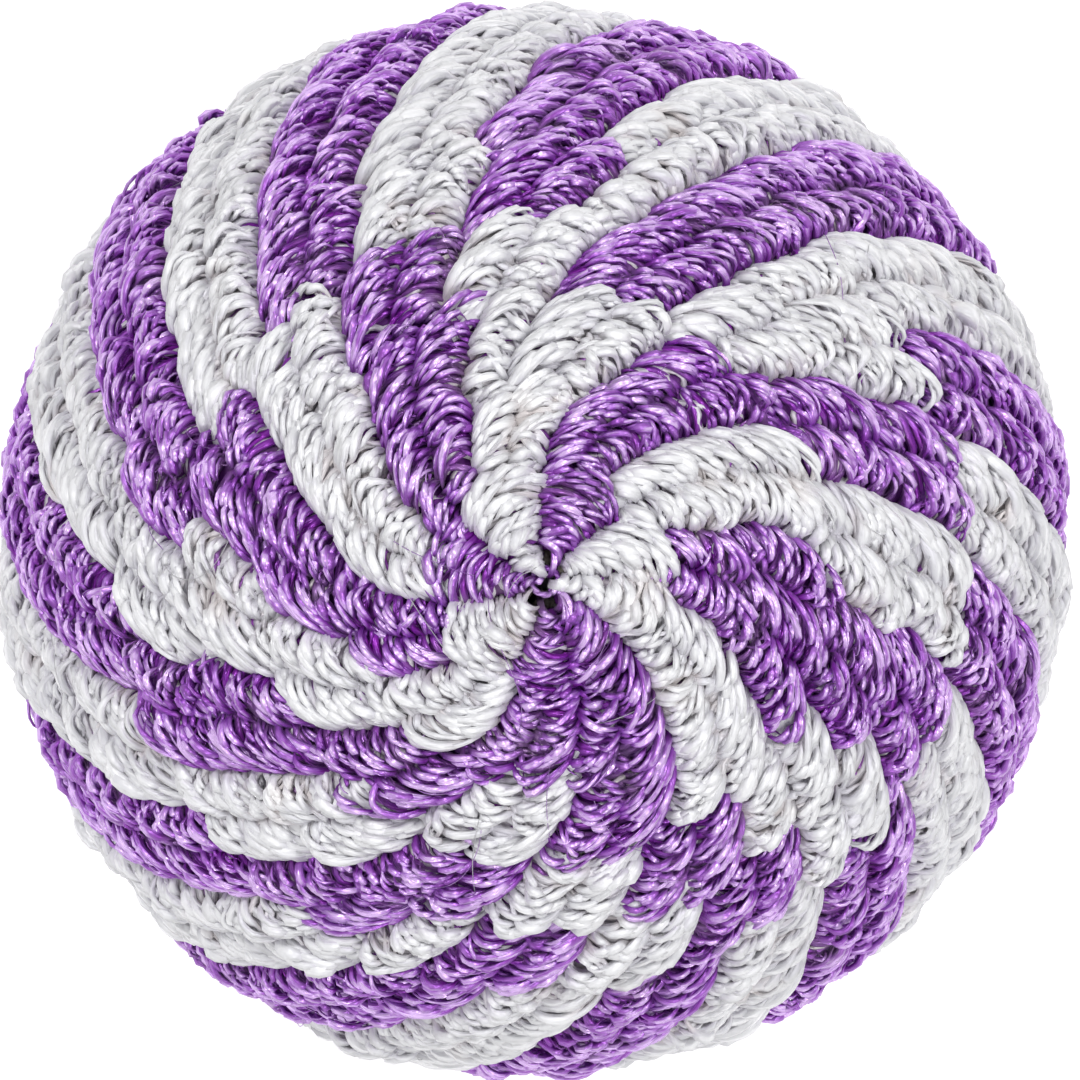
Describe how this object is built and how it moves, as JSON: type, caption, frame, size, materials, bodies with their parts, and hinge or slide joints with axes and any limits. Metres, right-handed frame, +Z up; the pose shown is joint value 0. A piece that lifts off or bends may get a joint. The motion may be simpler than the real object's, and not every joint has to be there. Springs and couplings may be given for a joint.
{
  "type": "crocheted juggling ball",
  "caption": "Soft juggling ball with a crocheted cover in purple and white swirl stripes over a sewn liner filled with pellets.",
  "frame": {"origin": "middle of the small flat underside that the ball stands on", "axes": "+Z up along the crochet axis, from the closing button below to the start ring on top; +X and +Y are level, and the swirl turns clockwise seen from above as it comes down"},
  "size_m": [0.0638, 0.0638, 0.0625],
  "materials": {
    "purple_thread": "glossy rayon crochet thread, purple, satin sheen",
    "white_thread": "glossy rayon crochet thread, cool white, satin sheen",
    "liner_cloth": "plain woven cotton, unbleached, matte",
    "sewing_thread": "cotton sewing thread, matte",
    "pellets": "small polypropylene pellets, translucent white, semi-matte"
  },
  "bodies": {
    "root": {"start_ring": "purple_thread", "purple_round_01": "purple_thread", "white_round_01": "white_thread", "purple_round_02": "purple_thread", "white_round_02": "white_thread", "purple_round_03": "purple_thread", "white_round_03": "white_thread", "purple_round_04": "purple_thread", "white_round_04": "white_thread", "purple_round_05": "purple_thread", "white_round_05": "white_thread", "purple_round_06": "purple_thread", "white_round_06": "white_thread", "purple_round_07": "purple_thread", "white_round_07": "white_thread", "purple_round_08": "purple_thread", "white_round_08": "white_thread", "purple_round_09": "purple_thread", "white_round_09": "white_thread", "purple_round_10": "purple_thread", "white_round_10": "white_thread", "purple_round_11": "purple_thread", "white_round_11": "white_thread", "purple_round_12": "purple_thread", "white_round_12": "white_thread", "purple_round_13": "purple_thread", "white_round_13": "white_thread", "purple_round_14": "purple_thread", "white_round_14": "white_thread", "purple_round_15": "purple_thread", "white_round_15": "white_thread", "purple_round_16": "purple_thread", "white_round_16": "white_thread", "purple_round_17": "purple_thread", "white_round_17": "white_thread", "closing_button": "purple_thread", "closing_knot": "purple_thread", "liner_gore_01": "liner_cloth", "liner_seam_01": "sewing_thread", "liner_gore_02": "liner_cloth", "liner_seam_02": "sewing_thread", "liner_gore_03": "liner_cloth", "liner_seam_03": "sewing_thread", "liner_gore_04": "liner_cloth", "liner_seam_04": "sewing_thread", "liner_gore_05": "liner_cloth", "liner_seam_05": "sewing_thread", "liner_gore_06": "liner_cloth", "liner_seam_06": "sewing_thread", "pellet_fill": "pellets"}
  },
  "joints": []
}
